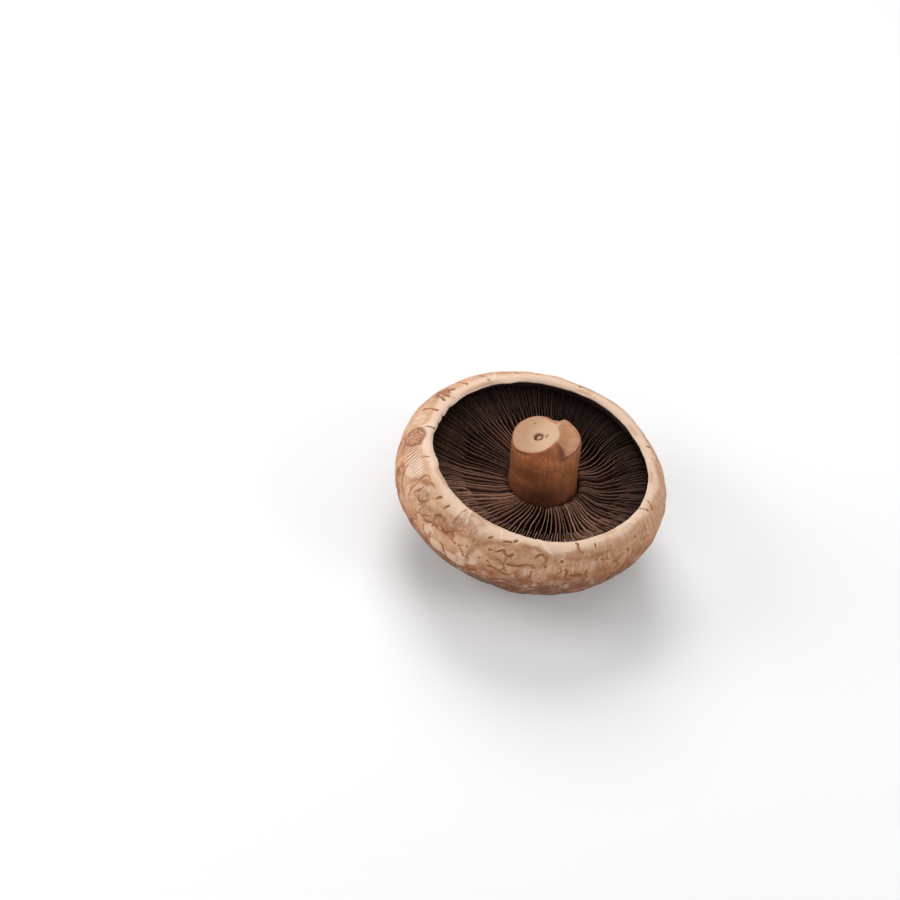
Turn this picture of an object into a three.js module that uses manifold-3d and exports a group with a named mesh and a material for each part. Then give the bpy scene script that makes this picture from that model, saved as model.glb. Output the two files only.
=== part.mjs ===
// A portobello mushroom as picked, lying on the crown of its cap with the cut stem upwards.
// Millimetres, +Z up. The origin lies on the surface it rests on, under the middle of the cap.
//
// The cap is a thick bowl of flesh with an inrolled margin. The gills are thin blades that hang
// in the bowl all round the stem, and the stem stands in the middle, trimmed off short.
// Each piece is first made round about +Z, and then grown out of round by the same rule.

import * as THREE from "three";
import { mergeGeometries, mergeVertices } from "three/addons/utils/BufferGeometryUtils.js";
import Module from "manifold-3d";

const wasm = await Module();
wasm.setup();

// Driving dimensions

const capRadius = 55; // of the widest circle
const widestHeight = 34; // of that circle above the crown
const domeRoundness = 2.15; // below that circle: 2 is an ellipse, more is fuller
const shoulderRoundness = 1.75; // above it
const restFlatRadius = 10; // of the flat spot that the crown rests on
const crestRadius = 45.3; // of the top of the margin
const crestHeight = 44.9;
const mouthRadius = 43.5; // of the margin's thin inner edge
const mouthHeight = 43.8;
const fuller = { x: -1.5, y: -0.7 }; // how far the skin stands off to the side where the cap is fuller
const middle = { x: 1.2, y: 0.4 }; // brings the middle of the grown shape back over the origin
const fleshHeight = 23; // of the flesh in the middle, from which the stem grows

const gap = 0.3; // between pieces that touch
const gillRingInside = 15.2; // the gills stay free of the stem
const gillRingOutside = 45.4;
const gillRootThickness = 1.2;
const gillThickness = { root: 0.85, edge: 0.62 };
const gillCount = 192; // a quarter long, a quarter middling, the rest short

const stemRadius = { base: 14.5, waist: 13.8, top: 13.7 };
const stemDepthRatio = 0.95; // front to back against side to side
const stemFoot = new THREE.Vector3(4.1, -1, fleshHeight + gap);
const stemKnee = new THREE.Vector3(4.1, -1, 36); // straight above the foot, so the stem sits square
const stemTip = new THREE.Vector3(-1.2, 1.7, 56.5);
const pith = { x: -2.8, y: -0.5 }; // middle of the cut end, against the axis of the stem

// Helpers

const { degToRad, lerp, smoothstep } = THREE.MathUtils;

/** The height of the flesh under the gills, at radius r. */
function fleshAt(r) {
  return fleshHeight + 12 * Math.pow(r / 44, 2.1);
}

/** The height of the gills' free edges, at radius r. */
function gillEdgeAt(r) {
  return 32.6 + 7.2 * Math.pow(Math.max(0, r - 14) / 31, 1.45);
}

/** How a point of the round mushroom moved as it grew: an oval cap, fuller on one side, with a wavy margin. */
function grown(point) {
  const r = Math.hypot(point.x, point.y);
  const a = Math.atan2(point.y, point.x);
  const high = smoothstep(point.z, 0.35 * widestHeight, widestHeight);
  const margin = smoothstep(point.z, 32, crestHeight) * smoothstep(r, 30, mouthRadius);
  const oval = 0.01 * Math.cos(2 * (a - 0.5));
  const lobes = 0.005 * Math.cos(3 * a + 1.2) + 0.004 * Math.cos(5 * a + 0.4);
  const spread = 1 + oval + lobes * high;
  const outward = smoothstep(r, mouthRadius, capRadius);
  const lift = 0.5 * Math.sin(2 * a + 0.6) + 0.35 * Math.sin(3 * a + 2.2) + 0.25 * Math.sin(7 * a);
  // The stem and the gills round it stand off the middle of the cap.
  const central = (1 - smoothstep(r, gillRingInside, mouthRadius)) * smoothstep(point.z, 12, fleshHeight);
  return new THREE.Vector3(
    point.x * spread + stemFoot.x * central + fuller.x * outward,
    point.y * spread + stemFoot.y * central + fuller.y * outward,
    point.z + lift * margin,
  );
}

/** Moves every vertex of a geometry by a rule from point to point. */
function moved(geometry, rule) {
  const position = geometry.getAttribute("position");
  const point = new THREE.Vector3();
  for (let i = 0; i < position.count; i++) {
    const to = rule(point.fromBufferAttribute(position, i));
    position.setXYZ(i, to.x, to.y, to.z);
  }
  return geometry;
}

/** The geometry with positions alone, its shared vertices merged. */
function welded(geometry) {
  const bare = geometry.clone();
  bare.deleteAttribute("normal");
  bare.deleteAttribute("uv");
  return mergeVertices(bare, 1e-4);
}

/** A solid of revolution about +Z, from [radius, height] points that run anticlockwise. */
function turned(profile, segments) {
  const points = profile.map(([r, z]) => new THREE.Vector2(r, z));
  return new THREE.LatheGeometry(points, segments).rotateX(Math.PI / 2);
}

function solidOf(geometry) {
  const closed = welded(geometry);
  return new wasm.Manifold(
    new wasm.Mesh({
      numProp: 3,
      vertProperties: closed.getAttribute("position").array,
      triVerts: new Uint32Array(closed.index.array),
    }),
  );
}

function geometryOf(solid) {
  const { numProp, numVert, vertProperties, triVerts } = solid.getMesh();
  const position = new Float32Array(numVert * 3);
  for (let i = 0; i < numVert; i++)
    position.set(vertProperties.subarray(i * numProp, i * numProp + 3), i * 3);
  return new THREE.BufferGeometry()
    .setAttribute("position", new THREE.BufferAttribute(position, 3))
    .setIndex(new THREE.BufferAttribute(triVerts, 1));
}

/** A named piece of the mushroom. Its faces are shaded flat or smooth from its own shape. */
function piece(name, geometry, material) {
  geometry.computeVertexNormals();
  const mesh = new THREE.Mesh(geometry, material);
  mesh.name = name;
  return mesh;
}

// The cap: crown, shoulder, inrolled margin, and the bowl of flesh that the gills hang in

function capProfile() {
  const dome = [];
  const bend = 2 / domeRoundness;
  const restAngle = Math.asin(Math.pow(restFlatRadius / capRadius, 1 / bend));
  const lowest = 1 - Math.pow(Math.cos(restAngle), bend);
  for (let i = 0; i <= 12; i++) {
    const t = lerp(restAngle, Math.PI / 2, i / 12);
    const rise = (1 - Math.pow(Math.cos(t), bend) - lowest) / (1 - lowest);
    dome.push([capRadius * Math.pow(Math.sin(t), bend), widestHeight * rise]);
  }
  const shoulder = [];
  const fold = 2 / shoulderRoundness;
  for (let i = 1; i <= 7; i++) {
    const t = (i / 7) * (Math.PI / 2);
    shoulder.push([
      lerp(crestRadius, capRadius, Math.pow(Math.cos(t), fold)),
      lerp(widestHeight, crestHeight, Math.pow(Math.sin(t), fold)),
    ]);
  }
  const lip = [
    [44.2, 44.6],
    [mouthRadius, mouthHeight],
    [44, 42.7],
    [45.6, 41.8],
    [46.7, 40],
    [46.9, 38.2],
  ];
  const bowl = [46.2, 38, 31, 24, gillRingInside].map((r) => [r, fleshAt(r)]);
  const seat = [
    [stemRadius.base + 0.4, fleshHeight],
    [0, fleshHeight],
  ];
  return [[0, 0], ...dome, ...shoulder, ...lip, ...bowl, ...seat];
}

/** Shallow dents all over the skin, which leave the flat spot and the inside alone. */
function dented(point) {
  const r = Math.hypot(point.x, point.y);
  const inside = point.z > fleshHeight - 1 && r < mouthRadius + 3.5;
  const skin = inside ? 0 : smoothstep(r, restFlatRadius + 4, 0.6 * capRadius);
  const { x, y, z } = point;
  const depth =
    0.32 * Math.sin(0.19 * x + 0.11 * z + 1) * Math.sin(0.17 * y - 0.13 * z) +
    0.2 * Math.sin(0.41 * x - 0.2 * y + 0.3 * z) * Math.sin(0.35 * y + 0.23 * z + 2);
  return point.clone().multiplyScalar(1 - (skin * depth) / capRadius);
}

function cap() {
  const skin = new THREE.MeshStandardMaterial({ color: 0xd2ab84, roughness: 0.7, metalness: 0 });
  const shape = moved(turned(capProfile(), 64), (p) => grown(dented(p)));
  return piece("cap", geometryOf(solidOf(shape)), skin);
}

// The gills: a thin ring that lines the bowl, and the blades that stand on it

/** Where blade number i starts, as a radius: one in four is long, and those between are ever shorter. */
function gillStart(i) {
  if (i % 8 === 0) return 15.6;
  if (i % 4 === 0) return 16.4;
  if (i % 2 === 0) return 23.5;
  return 31.5;
}

function gillRing() {
  const radii = [gillRingInside, 30, gillRingOutside];
  const under = radii.map((r) => [r, fleshAt(r) + gap]);
  const over = radii.map((r) => [r, fleshAt(r) + gap + gillRootThickness]).reverse();
  return turned([...under, ...over, under[0]], 32);
}

/** One blade: a waved sheet between the ring and its free edge, split into triangles alike on both sides. */
function gillBlade(i, random) {
  const start = gillStart(i) + 0.8 * random();
  const end = gillRingOutside - 0.3;
  const pitch = (2 * Math.PI) / gillCount;
  const turn = pitch * (i + 0.24 * (random() - 0.5));
  const phase = 2 * Math.PI * random();
  const sway = pitch * 0.16;
  const depth = 0.93 + 0.07 * random();
  const stations = Math.max(3, Math.round((end - start) / 7));
  const corners = [];
  for (let s = 0; s <= stations; s++) {
    const along = s / stations;
    const r = lerp(start, end, along);
    const rounding = lerp(0.85, 1, smoothstep(along, 0, 0.14)) * (1 - 0.2 * smoothstep(along, 0.88, 1));
    const root = fleshAt(r) + gap + 0.75;
    const edge = lerp(root + 1.4, gillEdgeAt(r), depth * rounding);
    const wave = turn + sway * Math.sin(phase + 0.28 * r);
    const half = { root: gillThickness.root / 2, edge: gillThickness.edge / 2 };
    const sides = [[-half.root, root], [half.root, root], [half.edge, edge], [-half.edge, edge]];
    for (const [side, z] of sides)
      corners.push(
        r * Math.cos(wave) - side * Math.sin(wave),
        r * Math.sin(wave) + side * Math.cos(wave),
        z,
      );
  }
  const faces = [0, 2, 1, 0, 3, 2];
  for (let s = 0; s < stations; s++)
    for (let k = 0; k < 4; k++) {
      const a = 4 * s + k;
      const b = 4 * s + ((k + 1) % 4);
      // Both waved sides are split along the same diagonal, from root to edge.
      if (k === 1) faces.push(a, b, b + 4, a, b + 4, a + 4);
      else if (k === 3) faces.push(a, b, a + 4, b, b + 4, a + 4);
      else faces.push(a, b, b + 4, a, b + 4, a + 4);
    }
  const last = 4 * stations;
  faces.push(last, last + 1, last + 2, last, last + 2, last + 3);
  return new THREE.BufferGeometry()
    .setAttribute("position", new THREE.BufferAttribute(new Float32Array(corners), 3))
    .setIndex(faces);
}

function gills() {
  const flesh = new THREE.MeshStandardMaterial({ color: 0x3a2620, roughness: 0.8, metalness: 0 });
  THREE.MathUtils.seededRandom(7);
  const random = () => THREE.MathUtils.seededRandom();
  const blades = Array.from({ length: gillCount }, (_, i) => gillBlade(i, random));
  const joined = solidOf(mergeGeometries(blades)).add(solidOf(gillRing()));
  return piece("gills", moved(geometryOf(joined), grown), flesh);
}

// The stem: a stout column that leans a little, cut across, with one side of the cut broken away

/** How far the cut end stands below its plane, at a place of the section. */
function brokenAway(x, y) {
  // The flat of the cut reaches the skin at the back and on one side, and ends in an arc on the other.
  const past = Math.hypot(Math.max(x + 3.5, 0), 0.8 * y) - 9.2;
  const fromFront = Math.abs(Math.atan2(y, x) + degToRad(70));
  const front = 1 - smoothstep(fromFront, degToRad(18), degToRad(52));
  return (1.7 + 2.2 * front) * smoothstep(past, -0.4 - 1.6 * front, 0.8 + 1.4 * front);
}

/** The stem before it leans: [radius, height, share of the broken end that this ring takes]. */
function stemRings(length) {
  const { base, waist, top } = stemRadius;
  return [
    [0, 0, 0],
    [base - 1.2, 0, 0],
    [base, 1.2, 0],
    [base, 7, 0],
    [waist + 0.3, 13, 0],
    [waist, 19, 0],
    [waist, 24, 0.1],
    [top, 28, 0.5],
    [top, length - 1.3, 0.95],
    [top - 0.5, length - 0.3, 1],
    [12.2, length, 1],
    [11, length, 1],
    [9.8, length, 1],
    [8.4, length, 1],
    [6.6, length, 1],
    [4.4, length, 1],
    [2.4, length - 0.25, 1],
    [1.4, length - 1.3, 1],
    [0, length - 0.9, 1],
  ];
}

function stem() {
  const bark = new THREE.MeshStandardMaterial({ color: 0xa06c48, roughness: 0.75, metalness: 0 });
  const axis = new THREE.QuadraticBezierCurve3(stemFoot, stemKnee, stemTip);
  const length = stemTip.z - stemFoot.z;
  const rings = stemRings(length);
  const shareAt = (h) => rings.reduce((a, b) => (Math.abs(b[1] - h) < Math.abs(a[1] - h) ? b : a))[2];
  const tangent = new THREE.Vector3();
  const across = new THREE.Vector3();
  const forward = new THREE.Vector3();
  const leaning = moved(turned(rings.map(([r, h]) => [r, h]), 48), (p) => {
    const r = Math.hypot(p.x, p.y);
    const a = Math.atan2(p.y, p.x);
    const share = shareAt(p.z);
    const middle = share * (1 - smoothstep(r, 2.4, 11));
    const height = p.z - share * brokenAway(p.x, p.y);
    const ribs = 1 + 0.012 * Math.sin(3 * a + 1) + 0.008 * Math.sin(0.3 * height);
    const u = THREE.MathUtils.clamp(height / length, 0, 1);
    axis.getTangent(u, tangent);
    across.set(tangent.z, 0, -tangent.x).normalize();
    forward.crossVectors(tangent, across);
    return axis
      .getPoint(u)
      .addScaledVector(across, p.x * ribs + middle * pith.x)
      .addScaledVector(forward, (p.y * ribs + middle * pith.y) * stemDepthRatio);
  });
  return piece("stem", geometryOf(solidOf(leaning)), bark);
}

const mushroom = new THREE.Group();
mushroom.add(cap(), gills(), stem());
mushroom.position.set(middle.x, middle.y, 0);

export default mushroom;
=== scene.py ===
# A fresh portobello mushroom, lying on the crown of its cap with the gills and the cut stem upwards.
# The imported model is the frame: each piece below replaces the node of its name and stays in its place.
# Lengths are in metres, written as millimetres times mm. +Z is up, out of the mouth of the cap.

import math

import bpy
import numpy as np
from mathutils import Matrix, Vector, noise


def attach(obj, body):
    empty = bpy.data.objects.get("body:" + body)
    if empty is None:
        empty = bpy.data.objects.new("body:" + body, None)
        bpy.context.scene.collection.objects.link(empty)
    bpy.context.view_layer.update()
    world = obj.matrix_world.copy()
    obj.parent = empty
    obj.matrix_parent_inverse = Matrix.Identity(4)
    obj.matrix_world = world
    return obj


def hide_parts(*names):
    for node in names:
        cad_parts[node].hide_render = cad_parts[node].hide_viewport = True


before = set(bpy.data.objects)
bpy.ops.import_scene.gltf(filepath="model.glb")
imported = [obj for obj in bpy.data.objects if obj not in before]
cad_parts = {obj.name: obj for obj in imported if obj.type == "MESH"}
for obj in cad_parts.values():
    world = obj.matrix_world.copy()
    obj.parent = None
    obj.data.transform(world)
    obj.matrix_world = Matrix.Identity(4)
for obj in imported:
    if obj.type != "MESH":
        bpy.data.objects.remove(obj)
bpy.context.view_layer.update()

# The cap
#
# A thick bowl of white flesh in a dry skin, grown as one. The skin is pale and smooth where the margin
# rolls in, cracked and flaking where the wall stretched as the cap opened, and brown and scaly on the
# crown, which is flattened where it rests.

mm = 0.001
cap_radius = 55 * mm
widest_height = 34 * mm
dome_roundness = 2.15
shoulder_roundness = 1.75
rest_radius = 10 * mm
crest_radius = 45.3 * mm
crest_height = 44.9 * mm
mouth_radius = 43.5 * mm
flesh_height = 23 * mm
flesh_rise, flesh_reach, flesh_curve = 12 * mm, 44 * mm, 2.1
seat_radius = 14.9 * mm
gill_inside = 15.2 * mm
gill_outside = 45.4 * mm
stem_foot = Vector((4.1, -1, 23.3)) * mm
# How far the wall bulges on its fuller side, and where the middle of the cap stands.
fuller = Vector((-1.5, -0.7)) * mm
middle = Vector((1.2, 0.4)) * mm


def smooth(x, low, high):
    """0 below low, 1 above high, and an S curve between them."""
    t = np.clip((x - low) / (high - low), 0, 1)
    return t * t * (3 - 2 * t)


def polar(r, a, z):
    """Points at these radii, angles and heights."""
    return np.stack([r * np.cos(a), r * np.sin(a), z], axis=1)


def grown(points):
    """Where points of a round mushroom went as it grew: oval, fuller on one side, with a wavy margin."""
    x, y, z = points.T
    r, a = np.hypot(x, y), np.arctan2(y, x)
    high = smooth(z, 0.35 * widest_height, widest_height)
    margin = smooth(z, 32 * mm, crest_height) * smooth(r, 30 * mm, mouth_radius)
    lobes = 0.005 * np.cos(3 * a + 1.2) + 0.004 * np.cos(5 * a + 0.4)
    spread = 1 + 0.01 * np.cos(2 * (a - 0.5)) + high * lobes
    outward = smooth(r, mouth_radius, cap_radius)
    lift = mm * (0.5 * np.sin(2 * a + 0.6) + 0.35 * np.sin(3 * a + 2.2) + 0.25 * np.sin(7 * a))
    # The stem and the gills round it stand off the middle of the cap.
    central = (1 - smooth(r, gill_inside, mouth_radius)) * smooth(z, 12 * mm, flesh_height)
    return np.stack(
        [
            x * spread + stem_foot.x * central + fuller.x * outward + middle.x,
            y * spread + stem_foot.y * central + fuller.y * outward + middle.y,
            z + lift * margin,
        ],
        axis=1,
    )


def flesh_at(r):
    """The height of the flesh under the gills, at radius r."""
    return flesh_height + flesh_rise * (r / flesh_reach) ** flesh_curve


def cap_section():
    """Radius and height along the section: rest spot, dome, shoulder, lip, bowl and seat of the stem."""
    bend = 2 / dome_roundness
    rest_angle = math.asin((rest_radius / cap_radius) ** (1 / bend))
    lowest = 1 - math.cos(rest_angle) ** bend
    t = np.linspace(rest_angle, math.pi / 2, 400)
    rise = (1 - np.clip(np.cos(t), 0, 1) ** bend - lowest) / (1 - lowest)
    dome = np.stack([cap_radius * np.sin(t) ** bend, widest_height * rise], axis=1)
    t = np.linspace(0, math.pi / 2, 200)[1:]
    fold = 2 / shoulder_roundness
    out = crest_radius + (cap_radius - crest_radius) * np.clip(np.cos(t), 0, 1) ** fold
    up = widest_height + (crest_height - widest_height) * np.sin(t) ** fold
    shoulder = np.stack([out, up], axis=1)
    lip = [(44.4, 44.7), (43.7, 44.2), (43.5, 43.6), (44, 42.7), (45.4, 41.8), (46.5, 40), (46.8, 38.2)]
    across = np.linspace(46 * mm, gill_inside, 40)
    bowl = np.stack([across, flesh_at(across)], axis=1)
    seat = [(seat_radius, flesh_height), (0.5 * mm, flesh_height)]
    rest = [(0.5 * mm, 0), (0.98 * rest_radius, 0)]
    return np.concatenate([rest, dome, shoulder, np.array(lip) * mm, bowl, seat])


def lengths_along(points):
    """How far along the line each of its points is."""
    return np.concatenate([[0], np.cumsum(np.hypot(*np.diff(points, axis=0).T))])


def stepped(*stops):
    """Values from stop to stop; the number of steps between two stops stands between them."""
    ends, counts = stops[::2], stops[1::2]
    stretches = [np.linspace(*span, endpoint=False) for span in zip(ends, ends[1:], counts)]
    return np.concatenate([*stretches, ends[-1:]])


def noise_at(points, size, seed):
    """Smooth noise from about -1 to 1 at each point, in lumps of this size."""
    offset = Vector((7.31, 3.17, 5.83)) * seed
    return np.array([noise.noise(Vector(p) + offset) for p in points / size])


def net_at(points, size, seed):
    """0 on the lines of an irregular net with meshes of this size, and up to 1 in their middles."""
    offset = Vector((4.7, 9.1, 2.3)) * seed
    nearest = np.array([noise.voronoi(Vector(p) + offset)[0][:2] for p in points / size])
    return np.clip(nearest[:, 1] - nearest[:, 0], 0, 1)


def mesh_of_rings(name, points, around, torus=False):
    """A closed surface through rings of points, its ends joined to each other or closed by a point each."""
    rows = len(points) // around
    row, col = np.divmod(np.arange((rows - 1 + torus) * around), around)
    right, over = (col + 1) % around, (row + 1) % rows
    quads = np.stack([row, row, over, over]) * around + np.stack([col, right, right, col])
    faces = quads.T.tolist()
    points = points.tolist()
    if not torus:
        last = (rows - 1) * around
        low, high = len(points), len(points) + 1
        faces += [(low, (c + 1) % around, c) for c in range(around)]
        faces += [(high, last + c, last + (c + 1) % around) for c in range(around)]
        points.append(np.mean(points[:around], axis=0).tolist())
        points.append(np.mean(points[last : last + around], axis=0).tolist())
    mesh = bpy.data.meshes.new(name)
    mesh.from_pydata(points, [], faces)
    mesh.shade_smooth()
    return mesh


def mark(mesh, **marks):
    """Keeps numbers or vectors for each vertex, for the material to read; a pole takes those next to it."""
    for name, values in marks.items():
        values = np.asarray(values, dtype=float)
        spare = len(mesh.vertices) - len(values)
        values = np.concatenate([values, *[values[:1], values[-1:]][:spare]])
        kind, field = ("FLOAT", "value") if values.ndim == 1 else ("FLOAT_VECTOR", "vector")
        attribute = mesh.attributes.new(name, kind, "POINT")
        attribute.data.foreach_set(field, values.astype(np.float32).ravel())


def put_in(data):
    """An object of this mesh, light or camera, in the scene."""
    thing = bpy.data.objects.new(data.name, data)
    bpy.context.scene.collection.objects.link(thing)
    return thing


def put_in_piece(mesh, node):
    """Puts in the finished piece that stands for a node of the frame."""
    piece = put_in(mesh)
    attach(piece, "root")
    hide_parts(node)


# Rings of the mesh by their length below the edge of the mouth, closest where the skin is seen most.
section = cap_section()
lengths = lengths_along(section)
mouth = lengths[np.argmin(np.hypot(*(section - (mouth_radius, 43.6 * mm)).T))]
below = stepped(mouth, 20, 62 * mm, 38, 36 * mm, 80, 1.5 * mm, 18, -4 * mm, 17, mouth - lengths[-1])
rings = np.stack([np.interp(mouth - below, lengths, section[:, i]) for i in (0, 1)], axis=1)
slope = np.gradient(rings, axis=0)
slope /= np.hypot(*slope.T)[:, None]

# The points of a ring stand closest on the side that is seen most.
around = 520
turn = np.linspace(0, 2 * math.pi, around, endpoint=False)
crowding, seen_most = 0.3, math.radians(245)
turn = turn - crowding * np.sin(turn - seen_most)

# From here on, one value for each vertex, ring after ring.
radius, height = np.repeat(rings[:, 0], around), np.repeat(rings[:, 1], around)
outward, upward = np.repeat(slope[:, 1], around), np.repeat(-slope[:, 0], around)
depth = np.repeat(below, around) / mm
angle = np.tile(turn, len(rings))
degrees = np.degrees(angle) % 360
plain = polar(radius, angle, height)
skin_at = polar(48, angle, depth)
outer = smooth(depth, -0.5, 1.5)
wall = smooth(depth, 3, 8)
crown = smooth(depth, 26, 44)

# Cracks and creases of the wall, each a line through (degrees round from the right, millimetres down).
cracks = [
    [(170, 10.5), (171, 3.5)], [(184, 7), (184, 1.3)], [(204, 5.3), (205, 3)],
    [(216, 8.5), (216, 5.5), (220, 5.8), (224, 6)], [(206, 11), (208, 13.5), (212, 16.5), (216, 18.5)],
    [(217, 9), (217, 12.3), (218, 15.5)], [(221, 9), (220, 11.5), (221, 12.8), (226, 12), (227, 9.8)],
    [(228, 11.8), (227, 14.8), (229, 15.5), (232, 13.8)], [(231, 16.3), (234, 15), (235, 11.5), (236, 11)],
    [(235, 12), (236, 15.8)],
    [(236, 10.5), (239, 10.5), (239, 12.5), (242, 14.8), (244, 12.5), (246, 13.3)],
    [(229, 7.5), (230, 5.8)], [(235, 8), (235, 6)], [(243, 9.3), (242, 5.8), (242, 2.8)],
    [(232, 17.8), (232, 21)], [(222, 17.5), (224, 17.3)], [(236, 22), (236, 18.8)],
    [(242, 19.8), (244, 22), (246, 26.8), (248, 29)], [(262, 11.3), (265, 10.8), (267, 9.8)],
    [(268, 9.6), (270, 11), (272, 10)], [(282, 9.3), (284, 7.5), (287, 9)],
    [(264, 18), (266, 17.8), (268, 19)], [(269, 18.8), (271, 19.8), (274, 19.3)],
    [(270, 12.3), (270, 15.3)], [(256, 26.8), (260, 24), (262, 24.3)],
    [(264, 27.5), (270, 23.8), (277, 24)], [(279, 24.3), (281, 21)],
    [(282, 14.5), (282, 17.8), (284, 22.3)], [(276, 15.8), (276, 19)],
    [(250, 15.3), (252, 16.8), (253, 18.8)], [(246, 14.8), (248, 15.5)],
    [(271, 14.3), (275, 14.3), (279, 12.5), (282, 12.5)], [(306, 14.5), (306, 17)],
    [(298, 16.3), (303, 17)], [(297, 13.8), (296, 20)], [(266, 6.3), (270, 5.8)],
    [(301, 2), (302, 5.3), (304, 7.3)], [(310, 4.5), (310, 6.8)], [(316, 9), (316, 12)],
    [(330, 14), (329, 16.8)], [(322, 16.3), (320, 18.5)], [(346, 1), (348, 5)], [(158, 9.3), (162, 4)],
    [(156, 8.3), (158, 4)], [(156, 8.3), (150, 6)],
]
pale_creases = [
    [(281, 1), (285, 4), (288, 6.5)], [(124, 9.5), (130, 1.3)], [(262, 1.5), (264, 5.5)],
    [(182, 1), (183, 7)], [(244, 2.5), (247, 7)], [(333, 1), (336, 4)], [(20, 1), (24, 6)],
    [(75, 1), (72, 5)],
]
specks = [
    (259, 15.8), (263, 15.5), (287, 12), (296, 13.3), (292, 16.8), (294, 9.5), (310, 10.8), (313, 11.5),
    (306, 15.3), (306, 17.3), (318, 7), (327, 12), (333, 9), (341, 12.5), (22, 3.3), (35, 5.3), (253, 14),
]
stains = [
    [
        (255, 20.5), (255, 15), (257, 11.5), (262, 8.8), (270, 6.5), (277, 5.5), (284, 6), (287, 7.8),
        (287, 10.5), (284, 13.3),
    ],
    [(194, 12), (204, 13), (210, 15), (216, 19)],
    [(214, 12), (216, 8.5), (221, 7)],
    [(227, 12.5), (233, 11), (239, 13), (246, 14.8)],
    [(262, 13), (270, 14), (279, 13)],
    [(296, 8.5), (310, 9.5), (325, 8.5), (340, 9)],
    [(288, 16), (300, 18.5), (312, 17.5)],
    [(306, 17.5), (316, 15), (326, 13), (338, 11)],
    [(312, 20), (324, 18), (336, 16)],
    [(158, 3), (156, 8.3), (150, 10)],
]
crack_width, crease_width, stain_width, outline_width = 0.4, 0.4, 1.1, 0.55
bruises = [
    # degrees round, millimetres down, half its width and half its height in millimetres, strength
    (190, 7.9, 5.2, 3.9, 1), (270, 10.5, 14.5, 3.6, 0.3), (224, 10.7, 2.6, 2.2, 0.6),
    (231, 14, 2.2, 2, 0.6), (238, 13, 4, 2.6, 0.5), (249, 4.2, 4.5, 1.8, 0.4), (248, 8.6, 5.2, 3, 0.5),
    (157, 7.5, 3.4, 3, 0.5), (205, 20, 3, 8, 0.35), (300, 9, 9, 3, 0.3),
]
pale_places_and_highlights = [
    # the same for places where the skin is paler, and for a painted highlight low on the front left of the
    # wall, 240 to 255 degrees round and 19 to 25 mm down
    (196, 2.6, 15, 2.3, 0.5), (209, 9, 5.5, 3.4, 0.8), (222, 8.6, 2.6, 2, 0.8), (178, 8.5, 3.5, 2.6, 0.6),
    (235, 18.5, 2.6, 2.4, 0.7), (240, 23, 4, 3, 0.7), (255, 19.5, 4.5, 3, 0.8), (249, 24, 6, 2.6, 0.8),
    (271, 17, 4, 2, 0.4), (285, 18, 3.5, 2.5, 0.35), (300, 19, 5, 2, 0.3), (243, 8, 1.8, 3, 0.5),
]


def far_round(a, b):
    """The shortest way round from b to a, in degrees."""
    return (a - b + 180) % 360 - 180


def hill(x, width):
    """1 where x is 0, falling off to both sides over this width."""
    return np.exp(-((x / width) ** 2))


def facing(degrees, at, width):
    """1 in this direction round the mushroom, falling off over this many degrees to both sides."""
    return hill(far_round(degrees, at), width)


def curved(line):
    """A smooth curve through the points of a line."""
    points = np.array([line[0], *line, line[-1]], dtype=float)
    before, start, end, after = (points[i : len(points) - 3 + i, None] for i in range(4))
    t = np.linspace(0, 1, 5, endpoint=False)[:, None]
    cubic = (3 * (start - end) + after - before) * t**3 + (2 * before - 5 * start + 4 * end - after) * t**2
    curve = start + 0.5 * ((end - before) * t + cubic)
    return np.concatenate([curve.reshape(-1, 2), points[-1:]])


def off_lines(lines, astray_round, astray_down):
    """How far each vertex is off the nearest line, up to 4 mm; the lines go astray by these lengths."""
    furthest, furthest_round = 4.0, 6
    nearest = np.full(len(degrees), furthest)
    for line in lines:
        curve = curved(line)
        for (a, d), (a_next, d_next) in zip(curve, curve[1:]):
            in_reach = (np.abs(far_round(degrees, a)) < furthest_round) & (np.abs(depth - d) < furthest)
            near = np.flatnonzero(in_reach)
            scale = math.pi / 180 * radius[near] / mm
            x = far_round(degrees[near], a) * scale + astray_round[near]
            y = depth[near] - d + astray_down[near]
            run, drop = (a_next - a) * scale, d_next - d
            along = np.clip((x * run + y * drop) / (run**2 + drop**2 + 1e-9), 0, 1)
            away = np.hypot(x - along * run, y - along * drop)
            nearest[near] = np.minimum(nearest[near], away)
    return nearest


def noise_on_cap(size, seed):
    """Noise on the cap before it grew out of round, in lumps of this size in millimetres."""
    return noise_at(plain / mm, size, seed)


def patches(places):
    """How strongly each vertex lies in one of these ragged patches, and how near it is to their outlines."""
    inside, outline = np.zeros(len(degrees)), np.zeros(len(degrees))
    ragged = 0.22 * noise_on_cap(3, 11) + 0.1 * noise_on_cap(1.2, 12)
    for a, d, half_width, half_height, strength in places:
        x = far_round(degrees, a) * math.pi / 180 * radius / mm / half_width
        off = np.hypot(x, (depth - d) / half_height) + ragged
        inside = np.maximum(inside, strength * (1 - smooth(off, 0.8, 1.05)))
        ring = hill((off - 0.95) * half_height, outline_width) * (0.72 + 1.4 * ragged)
        outline = np.maximum(outline, strength * np.clip(ring, 0, 1))
    return inside, outline


def turned_back(a, d):
    """Where a mark of the near side is repeated on the far side, the other way round and a little lower."""
    turned_at = 156
    return turned_at - 0.86 * (a - turned_at), 1.1 * d + 1


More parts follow.
